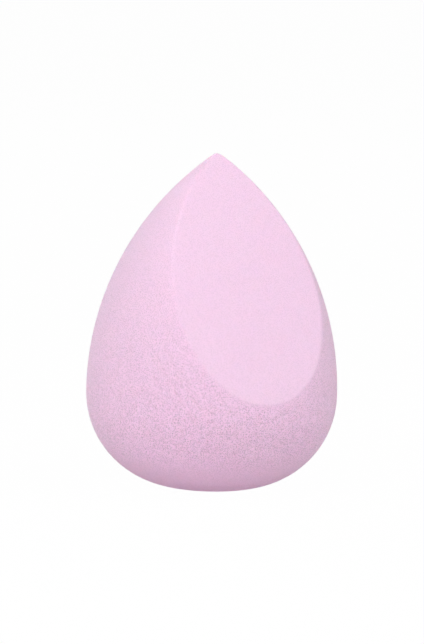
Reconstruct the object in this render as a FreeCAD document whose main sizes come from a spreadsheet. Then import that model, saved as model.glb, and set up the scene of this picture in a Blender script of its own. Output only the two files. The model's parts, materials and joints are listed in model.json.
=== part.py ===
"""Makeup sponge: one teardrop of soft foam with a slanted flat bevel.

The foam is turned to a teardrop with a small flat foot, sliced once by a leaning plane that passes just
inside the tip, and eased round the rim of that slice. It is a single piece: nothing is glued in, wrapped
round it or hinged.

Frame: Z up along the teardrop's axis, origin in the middle of the foot, bevel facing -Y.
Units: millimetres and degrees.
"""

import FreeCAD
import Part
import Sketcher
import enum
import math
import os

# Driving dimensions: name, value, what it measures
SIZES = (
    ("sponge_height", 57.4, "foot to the sharp tip that the teardrop has before the slice"),
    ("belly_diameter", 43.0, "widest round of the teardrop"),
    ("foot_diameter", 10.9, "flat that the sponge stands on"),
    ("bevel_lean", 28.5, "slant of the bevel face from upright, in degrees"),
    ("bevel_depth", 0.34, "how far inside the sharp tip the slice passes, square to the bevel"),
    ("rim_easing", 0.3, "how far the narrow easing of the bevel's rim reaches onto either face"),
    ("slice_overrun", 4.0, "how far the slicing tool reaches past the foam"),
)
FULL_TURN = 360
QUARTER_TURN = 90
OUTPUT_FOLDER = "parts"

# Half the angle of the sharp tip, which the ogive's arc sets
TIP_RISE = "(Sizes.sponge_height - (Sizes.belly_diameter - Sizes.foot_diameter) / 2)"
TIP_ANGLE = f"2 * atan(Sizes.belly_diameter / 2 / {TIP_RISE})"

# The rim turns tightest at the tip, where an easing wider than that turn would fold over itself
TIP_TURN = f"Sizes.bevel_depth * tan({TIP_ANGLE})"
RIM_LIMIT = f"{TIP_TURN} * tan(({TIP_ANGLE} + Sizes.bevel_lean * 1 deg) / 2)"
RIM_LIMIT_SHARE = 0.9


class Axis(enum.IntEnum):
    """A sketch's own axes, numbered before its edges."""

    ACROSS = -1
    UP = -2


class Spot(enum.IntEnum):
    """Which point of an edge or axis a sketch constraint takes."""

    START = 1
    END = 2
    CENTRE = 3


ORIGIN = (Axis.ACROSS, Spot.START)


def make_sheet(doc):
    """A spreadsheet of the driving dimensions, one named cell each."""
    sheet = doc.addObject("Spreadsheet::Sheet", "Sizes")
    for row, (name, value, meaning) in enumerate(SIZES, start=1):
        sheet.set(f"A{row}", name)
        sheet.set(f"B{row}", str(value))
        sheet.set(f"C{row}", meaning)
        sheet.setAlias(f"B{row}", name)
    doc.recompute()
    return sheet


def add_sketch(body, name, plane_role):
    """An empty sketch of the body, lying on one of its own origin planes."""
    sketch = body.newObject("Sketcher::SketchObject", name)
    plane = next(item for item in body.Origin.OriginFeatures if item.Role == plane_role)
    sketch.AttachmentSupport = (plane, [""])
    sketch.MapMode = "FlatFace"
    return sketch


def bind(sketch, kind, *where, name, formula):
    """Adds a named dimension to the sketch and ties it to the sheet."""
    start_value = sketch.evalExpression(formula)
    if kind == "Angle":
        start_value = math.radians(start_value)
    number = sketch.addConstraint(Sketcher.Constraint(kind, *where, start_value))
    sketch.renameConstraint(number, name)
    sketch.setExpression(f"Constraints.{name}", formula)


def point(across, up):
    """A point of a sketch."""
    return FreeCAD.Vector(across, up, 0)


def draw_teardrop(body, sheet):
    """Half outline of the teardrop: from the middle of the foot round the heel and the belly to the tip."""
    sketch = add_sketch(body, "teardrop_outline", "XZ_Plane")
    belly = sheet.belly_diameter / 2
    foot = sheet.foot_diameter / 2
    heel = belly - foot
    rise = sheet.sponge_height - heel
    ogive = (rise**2 + belly**2) / (2 * belly)
    axis = FreeCAD.Vector(0, 0, 1)
    heel_circle = Part.Circle(point(foot, heel), axis, heel)
    ogive_circle = Part.Circle(point(belly - ogive, heel), axis, ogive)
    foot_line, heel_arc, ogive_arc, axis_line = sketch.addGeometry(
        [
            Part.LineSegment(point(0, 0), point(foot, 0)),
            Part.ArcOfCircle(heel_circle, math.radians(-QUARTER_TURN), 0),
            Part.ArcOfCircle(ogive_circle, 0, math.asin(rise / ogive)),
            Part.LineSegment(point(0, sheet.sponge_height), point(0, 0)),
        ],
        False,
    )
    sketch.addConstraint(
        [
            Sketcher.Constraint("Coincident", foot_line, Spot.START, *ORIGIN),
            Sketcher.Constraint("Horizontal", foot_line),
            Sketcher.Constraint("Tangent", foot_line, Spot.END, heel_arc, Spot.START),
            # Heel and ogive meet at the belly, with both centres at its height: the wall is upright there
            Sketcher.Constraint("Tangent", heel_arc, Spot.END, ogive_arc, Spot.START),
            Sketcher.Constraint("Horizontal", heel_arc, Spot.CENTRE, ogive_arc, Spot.CENTRE),
            Sketcher.Constraint("Coincident", ogive_arc, Spot.END, axis_line, Spot.START),
            Sketcher.Constraint("Coincident", axis_line, Spot.END, *ORIGIN),
            Sketcher.Constraint("Vertical", axis_line),
        ]
    )
    foot_radius = "Sizes.foot_diameter / 2"
    belly_radius = "Sizes.belly_diameter / 2"
    bind(sketch, "DistanceX", *ORIGIN, foot_line, Spot.END, name="foot_radius", formula=foot_radius)
    bind(sketch, "DistanceX", *ORIGIN, heel_arc, Spot.END, name="belly_radius", formula=belly_radius)
    bind(sketch, "DistanceY", *ORIGIN, ogive_arc, Spot.END, name="tip_height", formula="Sizes.sponge_height")
    return sketch


def turn_teardrop(body, outline):
    """The full round teardrop."""
    teardrop = body.newObject("PartDesign::Revolution", "teardrop")
    teardrop.Profile = outline
    teardrop.ReferenceAxis = (outline, ["V_Axis"])
    teardrop.Angle = FULL_TURN
    outline.Visibility = False
    return teardrop


def draw_slice(body, sheet):
    """Side view of the foam that the bevel takes off: a right triangle with the bevel as its long side."""
    sketch = add_sketch(body, "bevel_slice", "YZ_Plane")
    lean = math.radians(sheet.bevel_lean)
    front = -sheet.belly_diameter / 2 - sheet.slice_overrun
    top = sheet.sponge_height + sheet.slice_overrun
    axis_crossing = sheet.sponge_height - sheet.bevel_depth / math.sin(lean)
    low = axis_crossing + front / math.tan(lean)
    back = (top - axis_crossing) * math.tan(lean)
    bevel, top_side, front_side, sharp_tip = sketch.addGeometry(
        [
            Part.LineSegment(point(front, low), point(back, top)),
            Part.LineSegment(point(back, top), point(front, top)),
            Part.LineSegment(point(front, top), point(front, low)),
            Part.Point(point(0, sheet.sponge_height)),
        ],
        False,
    )
    sketch.toggleConstruction(sharp_tip)
    sketch.addConstraint(
        [
            Sketcher.Constraint("Coincident", bevel, Spot.END, top_side, Spot.START),
            Sketcher.Constraint("Coincident", top_side, Spot.END, front_side, Spot.START),
            Sketcher.Constraint("Coincident", front_side, Spot.END, bevel, Spot.START),
            Sketcher.Constraint("Horizontal", top_side),
            Sketcher.Constraint("Vertical", front_side),
            Sketcher.Constraint("PointOnObject", sharp_tip, Spot.START, Axis.UP),
        ]
    )
    tip_height = "Sizes.sponge_height"
    front_reach = "Sizes.belly_diameter / 2 + Sizes.slice_overrun"
    top_reach = "Sizes.sponge_height + Sizes.slice_overrun"
    bind(sketch, "DistanceY", *ORIGIN, sharp_tip, Spot.START, name="tip_height", formula=tip_height)
    bind(sketch, "Distance", sharp_tip, Spot.START, bevel, name="bevel_depth", formula="Sizes.bevel_depth")
    bind(sketch, "Angle", bevel, name="bevel_slope", formula=f"{QUARTER_TURN} - Sizes.bevel_lean")
    bind(sketch, "DistanceX", front_side, Spot.START, *ORIGIN, name="front_reach", formula=front_reach)
    bind(sketch, "DistanceY", *ORIGIN, top_side, Spot.END, name="top_reach", formula=top_reach)
    return sketch


def slice_bevel(body, side_view):
    """The teardrop with its leaning flat cut, right across from side to side."""
    cut = body.newObject("PartDesign::Pocket", "bevel_cut")
    cut.Profile = side_view
    cut.SideType = "Symmetric"
    cut.Type = "Length"
    cut.setExpression("Length", "Sizes.belly_diameter + 2 * Sizes.slice_overrun")
    side_view.Visibility = False
    return cut


def bevel_face(shape, lean):
    """The flat face that leans back by that many degrees and faces -Y."""
    outward = FreeCAD.Vector(0, -math.cos(math.radians(lean)), math.sin(math.radians(lean)))
    flats = [face for face in shape.Faces if isinstance(face.Surface, Part.Plane)]
    return max(flats, key=lambda face: face.normalAt(0, 0).dot(outward))


def ease_rim(body, cut, sheet):
    """Takes the sharp edge off the rim of the bevel all the way round, tip included."""
    rim = bevel_face(cut.Shape, sheet.bevel_lean).OuterWire.Edges
    names = [
        f"Edge{number}"
        for number, edge in enumerate(cut.Shape.Edges, start=1)
        if any(edge.isSame(part) for part in rim)
    ]
    easing = body.newObject("PartDesign::Chamfer", "bevel_rim")
    easing.Base = (cut, names)
    easing.setExpression("Size", f"min(Sizes.rim_easing; {RIM_LIMIT_SHARE} * {RIM_LIMIT})")
    return easing


def make_foam_sponge(doc, sheet):
    """The sponge itself, the only piece."""
    body = doc.addObject("PartDesign::Body", "foam_sponge")
    body.Label = "foam_sponge"
    turn_teardrop(body, draw_teardrop(body, sheet))
    doc.recompute()
    round_volume = body.Shape.Volume
    cut = slice_bevel(body, draw_slice(body, sheet))
    doc.recompute()
    print(f"the slice takes off {1 - body.Shape.Volume / round_volume:.1%} of the teardrop")
    ease_rim(body, cut, sheet)
    doc.recompute()
    return body


def check(doc, pieces):
    """Stops before anything is written if a feature failed or a piece isn't one sound solid."""
    failed = [item.Name for item in doc.Objects if {"Invalid", "Error"} & set(item.State)]
    if failed:
        raise RuntimeError(f"these failed to build: {failed}")
    for piece in pieces:
        shape = piece.Shape
        if shape.isNull() or not shape.isValid() or len(shape.Solids) != 1:
            raise RuntimeError(f"{piece.Label} isn't one valid solid")


def write(pieces):
    """One STEP file for each piece, named by its label."""
    os.makedirs(OUTPUT_FOLDER, exist_ok=True)
    for piece in pieces:
        piece.Shape.exportStep(os.path.join(OUTPUT_FOLDER, f"{piece.Label}.step"))
        box = piece.Shape.optimalBoundingBox(False)
        size = f"{box.XLength:.2f} x {box.YLength:.2f} x {box.ZLength:.2f} mm"
        print(f"{piece.Label}: {size}, {piece.Shape.Volume:.0f} mm3")


def main():
    doc = FreeCAD.newDocument("makeup_sponge")
    sheet = make_sheet(doc)
    pieces = [make_foam_sponge(doc, sheet)]
    check(doc, pieces)
    write(pieces)


main()
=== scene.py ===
# %% [markdown]
# # A makeup sponge
#
# The real thing is one block of fine-celled foam: a teardrop that stands on a small flat foot, with a
# slanted bevel sliced off one shoulder. Nothing is glued in, wrapped round it or hinged, so the whole
# lesson makes one piece. It turns the teardrop, slices it, covers it with small even faces, softens the
# rim of the slice and opens the pores of the foam in the mesh itself. The finish, the light and the
# camera come after that. Everything is in metres, in the frame of the CAD model, which is loaded first
# and never changed.

# %% Load the frame
import bmesh
import bpy
import json
import math
import random
from mathutils import Matrix, Vector
from mathutils.bvhtree import BVHTree
from mathutils.kdtree import KDTree


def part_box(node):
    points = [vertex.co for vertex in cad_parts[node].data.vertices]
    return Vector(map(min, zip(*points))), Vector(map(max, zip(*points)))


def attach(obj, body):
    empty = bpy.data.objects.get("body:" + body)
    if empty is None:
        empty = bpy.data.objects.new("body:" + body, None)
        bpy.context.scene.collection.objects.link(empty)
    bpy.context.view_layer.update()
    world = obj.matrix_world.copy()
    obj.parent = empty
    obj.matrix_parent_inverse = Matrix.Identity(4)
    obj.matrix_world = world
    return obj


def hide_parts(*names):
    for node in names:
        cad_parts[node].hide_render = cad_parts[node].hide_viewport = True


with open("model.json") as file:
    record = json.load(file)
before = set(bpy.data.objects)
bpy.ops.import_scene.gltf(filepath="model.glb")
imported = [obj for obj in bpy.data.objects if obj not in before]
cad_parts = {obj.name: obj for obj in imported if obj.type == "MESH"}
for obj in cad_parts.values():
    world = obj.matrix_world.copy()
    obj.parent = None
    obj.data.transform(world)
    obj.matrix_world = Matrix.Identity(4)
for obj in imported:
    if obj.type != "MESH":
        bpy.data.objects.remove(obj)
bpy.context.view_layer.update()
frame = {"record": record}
MM = 0.001

# %% [markdown]
# ## The teardrop
#
# The foam is ground to a round teardrop, so its form is one half outline turned about the upright axis.
# A sphere pulled to a point would need its proportions guessed by eye. Two arcs give them exactly: the
# heel, a quarter circle that leaves the foot flat and ends upright at the belly, and the ogive, which
# leaves the belly upright and closes in a point. Both arcs are spun from a single vertex, and then the
# whole outline is spun once round. The form is made a little small, as a core. Later every vertex is
# set the same small distance outside the core, and that rounds each edge by this distance, as a ball
# that rolls over the form would.

# %% Sizes of the outline
CAD_NODE = "foam_sponge"
SHARP_TIP_HEIGHT = 57.4 * MM
FOOT_RADIUS = 5.45 * MM
EDGE_RADIUS = 0.2 * MM

box_low, box_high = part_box(CAD_NODE)
belly_radius = (box_high.x - box_low.x) / 2
heel_radius = belly_radius - FOOT_RADIUS
rise = SHARP_TIP_HEIGHT - heel_radius
ogive_radius = (rise**2 + belly_radius**2) / (2 * belly_radius)
heel_centre = Vector((FOOT_RADIUS, 0, heel_radius))
ogive_centre = Vector((belly_radius - ogive_radius, 0, heel_radius))
print(f"heel radius {heel_radius / MM:.2f} mm, ogive radius {ogive_radius / MM:.2f} mm")

# %% Draw the outline and turn it
HEEL_STEPS = 64
OGIVE_STEPS = 96
TURN_STEPS = 512
MERGE_DISTANCE = 0.001 * MM
UPRIGHT = Vector((0, 0, 1))
OUTLINE_AXIS = Vector((0, -1, 0))


def spin_vertex(form, vertex, centre, angle, steps):
    """Draws an arc from the vertex, and gives the vertex at its end."""
    arc = bmesh.ops.spin(form, geom=[vertex], cent=centre, axis=OUTLINE_AXIS, angle=angle, steps=steps)
    return next(item for item in arc["geom_last"] if isinstance(item, bmesh.types.BMVert))


def turned_core(inset):
    """The round teardrop before the slice, smaller all round by the inset."""
    form = bmesh.new()
    middle = form.verts.new((0, 0, inset))
    foot = bmesh.ops.extrude_vert_indiv(form, verts=[middle])["verts"][0]
    foot.co.x = FOOT_RADIUS
    belly = spin_vertex(form, foot, heel_centre, math.radians(90), HEEL_STEPS)
    tip_angle = math.acos(-ogive_centre.x / (ogive_radius - inset))
    spin_vertex(form, belly, ogive_centre, tip_angle, OGIVE_STEPS)
    outline = form.verts[:] + form.edges[:]
    bmesh.ops.spin(
        form, geom=outline, cent=(0, 0, 0), axis=UPRIGHT, angle=math.tau, steps=TURN_STEPS, use_merge=True
    )
    bmesh.ops.remove_doubles(form, verts=form.verts, dist=MERGE_DISTANCE)
    bmesh.ops.recalc_face_normals(form, faces=form.faces)
    return form


core = turned_core(EDGE_RADIUS)
print(f"core: {len(core.faces)} faces, {core.calc_volume() / MM**3:.0f} mm3")

# %% [markdown]
# ## The slice
#
# A blade takes the bevel off in one straight cut. A boolean with a large block would do the same, but
# one plane needs only bisect_plane, which also clears away what lies in front of it. Where that plane
# lies is part of the CAD record, as a mount that other things can be pressed on, so it is read from
# there and not typed again.

# %% Slice off the bevel
mounts = {mount["name"]: mount for mount in frame["record"]["mounts"]}
bevel_point = Vector(mounts["bevel"]["pos_m"])
bevel_normal = Vector(mounts["bevel"]["axis"]).normalized()


def slice_bevel(form, inset):
    """Cuts the bevel, deeper by the inset, closes it, and gives the points along its rim."""
    everything = form.verts[:] + form.edges[:] + form.faces[:]
    bmesh.ops.bisect_plane(
        form,
        geom=everything,
        dist=MERGE_DISTANCE,
        plane_co=bevel_point - bevel_normal * inset,
        plane_no=bevel_normal,
        clear_outer=True,
    )
    rim = [edge for edge in form.edges if edge.is_boundary]
    bmesh.ops.holes_fill(form, edges=rim)
    bmesh.ops.recalc_face_normals(form, faces=form.faces)
    rim_vertices = {vertex for edge in rim for vertex in edge.verts}
    return sorted((vertex.co.copy() for vertex in rim_vertices), key=tuple)


rim_points = slice_bevel(core, EDGE_RADIUS)
print(f"after the slice: {core.calc_volume() / MM**3:.0f} mm3, {len(rim_points)} points on the rim")

# %% [markdown]
# ## An even skin
#
# The turned mesh crowds its faces at the tip and the foot and stretches them at the belly, and pores
# made from such faces would change size with them. A voxel remesh gives faces of one size everywhere,
# but in rows, and rows of pores would look woven. So the vertices are shaken sideways at random,
# beautify_fill turns the edges to suit, and smoothing spreads the vertices again. After each move every
# vertex goes back to the nearest point of the exact form: the form stays true, and only the net on it
# loses its rows. At the end, the few slivers that lie folded over are turned flat.

# %% Remesh
SKIN_VOXEL = 0.6 * MM


def mesh_object(name, form):
    """A new object that shows a bmesh."""
    mesh = bpy.data.meshes.new(name)
    form.to_mesh(mesh)
    piece = bpy.data.objects.new(name, mesh)
    bpy.context.scene.collection.objects.link(piece)
    return piece


def even_skin(form):
    """The form covered with triangles of about one size, at the edges' radius outside it."""
    blank = mesh_object("blank", form)
    grid = blank.modifiers.new("even_skin", "REMESH")
    grid.mode = "VOXEL"
    grid.voxel_size = SKIN_VOXEL
    shown = blank.evaluated_get(bpy.context.evaluated_depsgraph_get())
    skin = bmesh.new()
    skin.from_mesh(shown.data)
    bpy.data.objects.remove(blank)
    bmesh.ops.triangulate(skin, faces=skin.faces)
    skin.normal_update()
    for vertex in skin.verts:
        vertex.co += vertex.normal * EDGE_RADIUS
    return skin


def surface_of(form):
    """A search tree over a form's triangles, put in one order, because spin and bisect_plane keep none."""
    points = sorted(form.verts, key=lambda vertex: tuple(vertex.co))
    for number, vertex in enumerate(points):
        vertex.index = number
    triangles = sorted([corner.vert.index for corner in corners] for corners in form.calc_loop_triangles())
    return BVHTree.FromPolygons([vertex.co for vertex in points], triangles, all_triangles=True)


core_surface = surface_of(core)
skin = even_skin(core)
core.free()
print(f"skin: {len(skin.verts)} vertices, {len(skin.faces)} triangles")

# %% Shake out the rows
SHAKE_REACH = 0.1 * MM
SHAKE_ROUNDS = 6
RELAX_ROUNDS = 2
RELAX_SHARE = 0.5
FOLD_ANGLE = math.radians(90)
SEED = 11
chance = random.Random(SEED)


def on_form(place, surface, radius):
    """The point at a radius outside a core's surface that lies nearest to a place."""
    nearest, core_normal, _, _ = surface.find_nearest(place)
    outward = place - nearest
    if outward.dot(core_normal) < 0:
        outward.negate()
    return nearest + outward.normalized() * radius


def settle(vertices):
    """Puts the vertices back on the exact form."""
    for vertex in vertices:
        vertex.co = on_form(vertex.co, core_surface, EDGE_RADIUS)


def shake(vertices):
    """Moves each vertex at random."""
    for vertex in vertices:
        vertex.co += Vector([chance.gauss(0, SHAKE_REACH) for _ in range(3)])
    settle(vertices)


def relax(vertices):
    """Draws each vertex towards the middle of its neighbours."""
    bmesh.ops.smooth_vert(
        skin, verts=vertices, factor=RELAX_SHARE, use_axis_x=True, use_axis_y=True, use_axis_z=True
    )


def touching(parts, vertices):
    """The edges or faces that touch these vertices, in the mesh's own order, the same in every run."""
    return [part for part in parts if not vertices.isdisjoint(part.verts)]


def spread(vertices):
    """Turns edges and draws vertices apart until the faces are about even, all on the exact form."""
    chosen = set(vertices)
    for _ in range(RELAX_ROUNDS):
        edges = touching(skin.edges, chosen)
        faces = touching(skin.faces, chosen)
        bmesh.ops.beautify_fill(skin, faces=faces, edges=edges, method="AREA")
        relax(vertices)
        settle(vertices)


def unfold():
    """Turns the edges of slivers that lie folded over, and gives their number."""
    skin.normal_update()
    folded = [edge for edge in skin.edges if edge.calc_face_angle() > FOLD_ANGLE]
    faces = touching(skin.faces, {vertex for edge in folded for vertex in edge.verts})
    bmesh.ops.beautify_fill(skin, faces=faces, edges=folded, method="ANGLE")
    return len(folded)


for _ in range(SHAKE_ROUNDS):
    shake(skin.verts)
    spread(skin.verts)
print(f"{unfold()} folded edges turned")
edge_lengths = sorted(edge.calc_length() / MM for edge in skin.edges)
middle_length = edge_lengths[len(edge_lengths) // 2]
print(f"edges {edge_lengths[0]:.2f} to {edge_lengths[-1]:.2f} mm, half of them under {middle_length:.2f}")

# %% [markdown]
# ## The rim of the slice
#
# Foam can't hold a knife edge: it gives a little under the blade and springs back rounded. Only at the
# tip is the foam too thin to spring back, so there the rim stays crisp. A bevel operator would need one
# clean chain of edges along the rim, and the shaken net has none. So the faces along the rim are
# divided once more, and their vertices are set on a second form: the same sponge with a smaller core,
# whose edges are rounder. Towards the tip the rim goes over to the crisp form.

# %% Refine the rim
RIM_BAND = 1.3 * MM
CRISP_ABOVE = 54 * MM


def nearest_finder(points):
    """A search tree that gives the nearest of the points."""
    tree = KDTree(len(points))
    for number, point in enumerate(points):
        tree.insert(point, number)
    tree.balance()
    return tree


def rim_distance(vertex):
    """How far a vertex is from the rim of the slice."""
    return rim_tree.find(vertex.co)[2]


def along_rim(width, low, high):
    """The vertices within a width of the rim, between two heights."""
    return [v for v in skin.verts if low <= v.co.z <= high and rim_distance(v) < width]


def refine(width, low, high):
    """Divides the edges along the rim once more, on the exact form."""
    near = set(along_rim(width, low, high))
    edges = [edge for edge in skin.edges if near.issuperset(edge.verts)]
    bmesh.ops.subdivide_edges(skin, edges=edges, cuts=1)
    bmesh.ops.triangulate(skin, faces=[face for face in skin.faces if len(face.verts) > 3])
    spread(along_rim(width, low, high))


rim_tree = nearest_finder(rim_points)
refine(RIM_BAND, 0, box_high.z)
refine(RIM_BAND, CRISP_ABOVE, box_high.z)
print(f"skin with its rim: {len(skin.faces)} faces, top at {max(v.co.z for v in skin.verts) / MM:.2f} mm")

# %% Round the rim
RIM_RADIUS = 0.85 * MM
ROUND_BELOW = 44 * MM


def clamp(share):
    """The share kept between 0 and 1."""
    return min(1, max(0, share))


round_core = turned_core(RIM_RADIUS)
slice_bevel(round_core, RIM_RADIUS)
round_surface = surface_of(round_core)
round_core.free()
rim_vertices = along_rim(RIM_BAND, 0, CRISP_ABOVE)
for vertex in rim_vertices:
    roundness = clamp((CRISP_ABOVE - vertex.co.z) / (CRISP_ABOVE - ROUND_BELOW))
    vertex.co = vertex.co.lerp(on_form(vertex.co, round_surface, RIM_RADIUS), roundness)
print(f"{len(rim_vertices)} vertices along the rim")

# %% [markdown]
# ## The pores
#
# Seen close, the foam is full of tiny open cells, a fifth of a millimetre wide and under a millimetre
# apart, and the ground between them is never quite even. A bump texture would draw that only in the
# shading. Here it is real: every vertex moves a little in or out, and vertices picked at random open
# into pores. Bevelling a vertex replaces it with a small face, poking that face gives it a middle, and
# the middle sinks. The foam is most open low on the body, finer towards the tip, and the blade leaves
# the bevel almost smooth. Round the foot it keeps its deeper pink but shows less grain. Vertex
# attributes remember how deep the pores are, which also sets a painted shade in them, how open the
# ground is, which also sets a painted shade low on the body, and how much grain it shows, for the
# finish to read.

# %% Uneven ground
UNEVEN = 0.001 * MM
BEVEL_OPENNESS_AND_SHADE = 0.28
TIP_OPENNESS_AND_SHADE = 0.35
OPEN_BELOW = 12 * MM
FINE_ABOVE = 40 * MM
RIM_FADE = 0.3 * MM
SMOOTH_BELOW = 4 * MM
GRAINY_ABOVE = 8 * MM
FOOT_GRAIN = 0.35
FOOT_FLATNESS = 0.05 * MM


def open_and_shade_share(vertex):
    """Openness and painted shade at a vertex: 1 low on the body, less towards the tip and least on the
    bevel.
    """
    rise_share = clamp((vertex.co.z - OPEN_BELOW) / (FINE_ABOVE - OPEN_BELOW))
    body_open_and_shaded = 1 + (TIP_OPENNESS_AND_SHADE - 1) * rise_share
    behind_bevel = (bevel_point - vertex.co).dot(bevel_normal)
    return BEVEL_OPENNESS_AND_SHADE + (body_open_and_shaded - BEVEL_OPENNESS_AND_SHADE) * clamp(behind_bevel / RIM_FADE)


def grain_share(vertex):
    """How much of the grain is left at a vertex: less near the foot, which is worn smooth."""
    rise_share = clamp((vertex.co.z - SMOOTH_BELOW) / (GRAINY_ABOVE - SMOOTH_BELOW))
    return FOOT_GRAIN + (1 - FOOT_GRAIN) * rise_share


# The openness also sets a painted shade in the finish: a deeper pink low on the body, paler towards the
# tip.
openness_and_shade = skin.verts.layers.float.new("openness_and_shade")
grain = skin.verts.layers.float.new("grain")
pore_shade_depth = skin.verts.layers.float.new("pore")
skin.normal_update()
for vertex in skin.verts:
    vertex[openness_and_shade] = open_and_shade_share(vertex)
    vertex[grain] = vertex[openness_and_shade] * grain_share(vertex)
    if vertex.co.z > FOOT_FLATNESS:
        vertex.co += vertex.normal * chance.gauss(0, UNEVEN) * vertex[grain]
shares = [vertex[openness_and_shade] for vertex in skin.verts]
print(f"openness from {min(shares):.2f} to {max(shares):.2f}")

# %% Open the pores
PORE_SHARE = 0.5
PORE_RADIUS = 0.09 * MM
PORE_GROWTH = (0.8, 1.6)
PORE_DEPTH_SHARES = (0.8, 1.5)
PORE_ROOM = 0.37 * MM
DEEPEST_PORE = PORE_RADIUS * PORE_GROWTH[1] * PORE_DEPTH_SHARES[1]


def open_pores(vertices):
    """Turns each vertex into a pore: a small ring with a sunken middle."""
    rings = bmesh.ops.bevel(
        skin,
        geom=vertices,
        offset=PORE_RADIUS,
        offset_type="OFFSET",
        segments=1,
        profile=0.5,
        affect="VERTICES",
        material=-1,
    )["faces"]
    for ring in rings:
        middle = ring.calc_center_median()
        growth = chance.uniform(*PORE_GROWTH)
        for vertex in ring.verts:
            vertex.co = middle.lerp(vertex.co, growth)
    for middle in bmesh.ops.poke(skin, faces=rings)["verts"]:
        radius = min(edge.calc_length() for edge in middle.link_edges)
        ring_vertex = middle.link_edges[0].other_vert(middle)
        sunk = radius * chance.uniform(*PORE_DEPTH_SHARES) * ring_vertex[grain]
        outward = (middle.co - core_surface.find_nearest(middle.co)[0]).normalized()
        middle.co -= outward * sunk
        # Deeper pores get a darker painted shade in the finish.
        middle[pore_shade_depth] = sunk / DEEPEST_PORE
        middle[openness_and_shade] = ring_vertex[openness_and_shade]
        middle[grain] = ring_vertex[grain]
    return len(rings)


def has_room(vertex):
    """Whether a pore fits between a vertex and its neighbours."""
    return min(edge.calc_length() for edge in vertex.link_edges) > PORE_ROOM


roomy = [vertex for vertex in skin.verts if has_room(vertex)]
pore_count = open_pores([vertex for vertex in roomy if chance.random() < PORE_SHARE * vertex[grain]])
bmesh.ops.triangulate(skin, faces=skin.faces)
bmesh.ops.recalc_face_normals(skin, faces=skin.faces)
for face in skin.faces:
    face.smooth = True
print(f"{pore_count} pores, {skin.calc_volume() / MM**3:.0f} mm3")

# %% Make the object
sponge = mesh_object("sponge", skin)
skin.free()
triangles = sum(len(face.vertices) - 2 for face in sponge.data.polygons)
print(f"{sponge.name}: {triangles} triangles")

# %% [markdown]
# ## Shader maths
#
# A finish is a small sum over the surface, and a row of Math nodes is hard to read back. One class
# wraps a node's output so that the sum is written as Python, such as 1 - mask, and every other node
# comes from one method that takes its type, its settings and its sockets.


# %% A socket that can be reckoned with
class Wire:
    """A node's output. Sums with it add Math nodes."""

    def __init__(self, socket):
        self.socket = socket
        self.tree = socket.id_data

    @classmethod
    def node(cls, tree, kind, settings=None, sockets=None, output=0):
        """Adds a node, sets it, fills its sockets with values or links, and gives one output."""
        node = tree.nodes.new(kind)
        for name, value in (settings or {}).items():
            setattr(node, name, value)
        for name, value in (sockets or {}).items():
            if isinstance(value, Wire):
                tree.links.new(value.socket, node.inputs[name])
            else:
                node.inputs[name].default_value = value
        return cls(node.outputs[output])

    def reckon(self, operation, first, second):
        """One Math node on two values or wires."""
        return Wire.node(self.tree, "ShaderNodeMath", {"operation": operation}, {0: first, 1: second})

    def __add__(self, other):
        return self.reckon("ADD", self, other)

    def __radd__(self, other):
        return self.reckon("ADD", other, self)

    def __sub__(self, other):
        return self.reckon("SUBTRACT", self, other)

    def __rsub__(self, other):
        return self.reckon("SUBTRACT", other, self)

    def __mul__(self, other):
        return self.reckon("MULTIPLY", self, other)


# The Mix node has sockets of one name for each type of data, so its colour sockets go by number.
MIX_FACTOR = 0
MIX_FIRST_COLOUR = 6
MIX_SECOND_COLOUR = 7
MIXED_COLOUR = 2


def mixed(factor, first, second):
    """A blend of two colours."""
    sockets = {MIX_FACTOR: factor, MIX_FIRST_COLOUR: first, MIX_SECOND_COLOUR: second}
    return Wire.node(factor.tree, "ShaderNodeMix", {"data_type": "RGBA"}, sockets, output=MIXED_COLOUR)


# %% [markdown]
# ## The foam
#
# Dry foam of this kind is matt and pale pink all through. Its colour isn't flat: the base colour is
# deeper and pinker where the cells are open, low on the body. This is partly the open cells' own colour
# and partly painted shade, because that part turns away from the light. The sliced face, where the cells
# are closed, is the palest. The pores are painted a darker pink, a painted shade on top of their real
# depth. A fine speckle of dark cells covers it all, and the dye clouds a little from place to place.
# The finish reads how open and how grainy the ground is, and how deep the pores are, from the mesh,
# and adds clouds and speckle on Object coordinates. A little light goes into the foam and comes out
# close by, and fine fibres brighten the edges.

# %% Mix the foam
# The second pink is partly the open cells' own colour and partly painted shade for the lower body.
SMOOTH_PINK = (0.862, 0.626, 0.8, 1)
OPEN_SHADED_PINK = (0.845, 0.558, 0.752, 1)
# The pore pink is painted shade in the pores, on top of their real depth.
PORE_SHADE_PINK = (0.658, 0.367, 0.564, 1)
CLOUD_PINK = (0.816, 0.564, 0.738, 1)
CLOUD_SIZE = 6 * MM
CLOUD_DETAIL = 3
CLOUD_SHARE = 0.25
CELL_SIZE = 0.18 * MM
CELL_REACH = 0.5
CELL_MIDDLE = 0.4
CELL_CONTRAST = 1.8
CELL_RELIEF = 0.03 * MM
ROUGHNESS = 0.9
CELL_ROUGHNESS = 0.2
FOAM_CONSTANTS = {
    "Specular IOR Level": 0.2,
    "Sheen Weight": 0.22,
    "Sheen Roughness": 0.5,
    "Subsurface Weight": 0.15,
    "Subsurface Scale": 0.5 * MM,
}


def noise(tree, place, size, detail):
    """Soft random values about 0.5, with blobs of about that size."""
    sockets = {"Vector": place, "Scale": 1 / size, "Detail": detail}
    return Wire.node(tree, "ShaderNodeTexNoise", None, sockets)


def cells(tree, place, size):
    """Scattered cells of about that size: 0 in each middle, rising to flat ground between them."""
    distance = Wire.node(tree, "ShaderNodeTexVoronoi", None, {"Vector": place, "Scale": 1 / size})
    return distance.reckon("MINIMUM", distance, CELL_REACH)


def attribute(tree, name):
    """A value that the mesh keeps at its vertices."""
    return Wire.node(tree, "ShaderNodeAttribute", {"attribute_name": name}, output="Fac")


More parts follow.
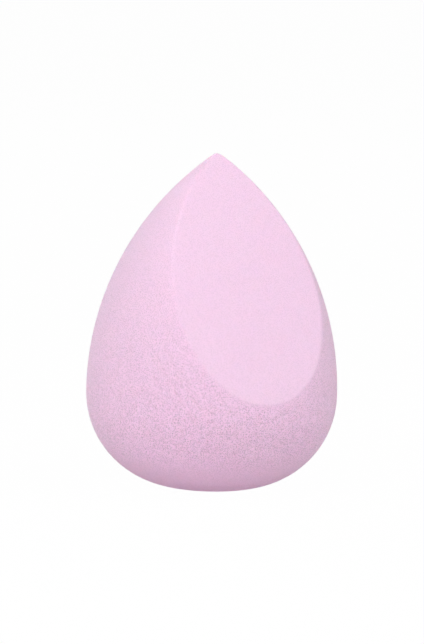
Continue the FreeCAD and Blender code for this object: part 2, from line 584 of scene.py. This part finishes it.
def foam_finish():
    """The pink foam."""
    material = bpy.data.materials.new("foam")
    material.use_nodes = True
    tree = material.node_tree
    shader = tree.nodes["Principled BSDF"]
    place = Wire.node(tree, "ShaderNodeTexCoord", output="Object")
    open_and_shaded = attribute(tree, "openness_and_shade")
    pore = attribute(tree, "pore")
    clouds = noise(tree, place, CLOUD_SIZE, CLOUD_DETAIL)
    specks = (cells(tree, place, CELL_SIZE) - CELL_MIDDLE) * attribute(tree, "grain")
    # Painted shade: the colour goes deeper and pinker where the ground is open, low on the body.
    colour = mixed(open_and_shaded, SMOOTH_PINK, OPEN_SHADED_PINK)
    colour = mixed(clouds * CLOUD_SHARE, colour, CLOUD_PINK)
    # Painted shade: the pores are coloured a darker pink by their depth.
    colour = mixed(pore, colour, PORE_SHADE_PINK)
    sockets = {0: colour, "Scale": 1 + specks * CELL_CONTRAST}
    speckled = Wire.node(tree, "ShaderNodeVectorMath", {"operation": "SCALE"}, sockets)
    roughness = ROUGHNESS - specks * CELL_ROUGHNESS
    sockets = {"Strength": 1, "Distance": CELL_RELIEF, "Height": specks}
    relief = Wire.node(tree, "ShaderNodeBump", None, sockets)
    tree.links.new(speckled.socket, shader.inputs["Base Color"])
    tree.links.new(roughness.socket, shader.inputs["Roughness"])
    tree.links.new(relief.socket, shader.inputs["Normal"])
    for name, value in FOAM_CONSTANTS.items():
        shader.inputs[name].default_value = value
    return material


sponge.data.materials.append(foam_finish())
print("finish:", sponge.data.materials[0].name)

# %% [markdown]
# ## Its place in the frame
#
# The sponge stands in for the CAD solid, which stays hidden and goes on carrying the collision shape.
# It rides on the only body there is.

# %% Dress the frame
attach(sponge, "root")
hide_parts(CAD_NODE)

# %% [markdown]
# ## Floor, light and camera
#
# The picture has a plain white ground and broad soft light. The floor is a pale sheet with a weak light
# behind it, strongest right under the sponge, as on a product table, so the sponge's underside doesn't
# go dark. It is pure white only to the eye: Light Path picks out the rays that come from the camera or
# from a reflection. A little of its true shading is left, which keeps a trace of the sponge's shadow.
# Four broad lamps stand all round, and two small ones close by on the left bring out the bright band
# along the rim.

# %% White ground
FLOOR_REACH = 3.0
FLOOR_PALE = (0.8, 0.8, 0.8, 1)
WHITE = (1, 1, 1, 1)
GROUND_WHITE_SHARE = 0.985
GROUND_GLOW = 0.02
CONTACT_GLOW = 0.6
CONTACT_REACH = 16 * MM


def seen_by_eye(tree):
    """1 for rays from the camera, from a reflection or through glass, and 0 for light on its way."""
    rays = ("Is Camera Ray", "Is Glossy Ray", "Is Transmission Ray")
    camera, glossy, through = (Wire.node(tree, "ShaderNodeLightPath", output=ray) for ray in rays)
    return camera.reckon("MAXIMUM", camera.reckon("MAXIMUM", camera, glossy), through)


def ground_finish():
    """Pale and matt and lit from below, and white to the eye but for a share that keeps the shadow."""
    material = bpy.data.materials.new("white_ground")
    material.use_nodes = True
    tree = material.node_tree
    matt = Wire.node(tree, "ShaderNodeBsdfDiffuse", None, {"Color": FLOOR_PALE})
    place = Wire.node(tree, "ShaderNodeTexCoord", output="Object")
    away = Wire.node(tree, "ShaderNodeVectorMath", {"operation": "LENGTH"}, {0: place}, output="Value")
    under = away.reckon("MAXIMUM", 1 - away * (1 / CONTACT_REACH), 0)
    strength = under * CONTACT_GLOW + GROUND_GLOW
    glow = Wire.node(tree, "ShaderNodeEmission", None, {"Color": strength, "Strength": 1})
    table = Wire.node(tree, "ShaderNodeAddShader", None, {0: matt, 1: glow})
    white = Wire.node(tree, "ShaderNodeEmission", None, {"Color": WHITE, "Strength": 1})
    share = seen_by_eye(tree) * GROUND_WHITE_SHARE
    both = Wire.node(tree, "ShaderNodeMixShader", None, {0: share, 1: table, 2: white})
    tree.links.new(both.socket, tree.nodes["Material Output"].inputs["Surface"])
    return material


sheet = bmesh.new()
bmesh.ops.create_grid(sheet, x_segments=1, y_segments=1, size=FLOOR_REACH)
floor = mesh_object("floor", sheet)
sheet.free()
floor.data.materials.append(ground_finish())
print("floor at height", floor.location.z)

# %% Sky
AMBIENT = 0.106


def studio_sky():
    """Even light from all round, white to the eye."""
    world = bpy.data.worlds.new("studio")
    world.use_nodes = True
    tree = world.node_tree
    even = Wire.node(tree, "ShaderNodeBackground", None, {"Color": WHITE, "Strength": AMBIENT})
    white = Wire.node(tree, "ShaderNodeBackground", None, {"Color": WHITE, "Strength": 1})
    both = Wire.node(tree, "ShaderNodeMixShader", None, {0: seen_by_eye(tree), 1: even, 2: white})
    tree.links.new(both.socket, tree.nodes["World Output"].inputs["Surface"])
    return world


bpy.context.scene.world = studio_sky()
print("sky strength", AMBIENT)

# %% Lamps
SPONGE_MIDDLE = Vector((0, 0, SHARP_TIP_HEIGHT / 2))
# Each lamp: name, azimuth and elevation in degrees, size and distance in metres, watts.
LAMPS = (
    ("right_front", 45, 45, 0.6, 0.8, 3.1),
    ("left", -110, 12, 0.6, 0.8, 0.58),
    ("back_left", -150, 35, 0.6, 0.8, 1.0),
    ("back_right", 160, 35, 0.6, 0.8, 1.0),
    ("near_front", -40, 35, 0.25, 0.3, 0.385),
    ("near_left", -70, 55, 0.25, 0.3, 0.285),
)


def direction(azimuth, elevation):
    """The way towards a lamp or camera: azimuth 0 stands in front, at -Y, and 90 at +X."""
    turn = math.radians(azimuth)
    lift = math.radians(elevation)
    return Vector((math.sin(turn) * math.cos(lift), -math.cos(turn) * math.cos(lift), math.sin(lift)))


def softbox(name, azimuth, elevation, size, distance, watts):
    """A square lamp that looks at the middle of the sponge from a distance."""
    lamp = bpy.data.lights.new(name, "AREA")
    lamp.size = size
    lamp.energy = watts
    towards = direction(azimuth, elevation)
    holder = bpy.data.objects.new(name, lamp)
    holder.location = SPONGE_MIDDLE + towards * distance
    holder.rotation_euler = towards.to_track_quat("Z", "Y").to_euler()
    bpy.context.scene.collection.objects.link(holder)
    return holder


softboxes = [softbox(*row) for row in LAMPS]
print("lamps:", [lamp.name for lamp in softboxes])

# %% Camera
IMAGE_SIZE = (424, 644)
MIDDLE_PIXEL = (213.46, 318.88)
PIXEL_SIZE = 0.17089 * MM
CAMERA_AZIMUTH = -27.2
CAMERA_ELEVATION = 7.68
CAMERA_ROLL = 1.43
CAMERA_DISTANCE = 581 * MM
NEAREST_SEEN = 10 * MM
SENSOR = 36


def photograph_camera():
    """A camera that holds the sponge's middle at its pixel of the photograph, at the photograph's scale."""
    lens = bpy.data.cameras.new("camera")
    lens.sensor_width = SENSOR
    lens.lens = SENSOR * CAMERA_DISTANCE / (IMAGE_SIZE[1] * PIXEL_SIZE)
    lens.clip_start = NEAREST_SEEN
    camera = bpy.data.objects.new("camera", lens)
    turn = Matrix.Rotation(math.radians(CAMERA_AZIMUTH), 3, "Z")
    lift = Matrix.Rotation(math.radians(90 - CAMERA_ELEVATION), 3, "X")
    roll = Matrix.Rotation(math.radians(CAMERA_ROLL), 3, "Z")
    aim = turn @ lift @ roll
    across = (IMAGE_SIZE[0] / 2 - MIDDLE_PIXEL[0]) * PIXEL_SIZE
    up = (MIDDLE_PIXEL[1] - IMAGE_SIZE[1] / 2) * PIXEL_SIZE
    camera.location = SPONGE_MIDDLE + aim @ Vector((across, up, CAMERA_DISTANCE))
    camera.rotation_euler = aim.to_euler()
    bpy.context.scene.collection.objects.link(camera)
    return camera


bpy.context.scene.camera = photograph_camera()
bpy.context.scene.view_settings.view_transform = "Standard"
print(f"lens {bpy.context.scene.camera.data.lens:.1f} mm")
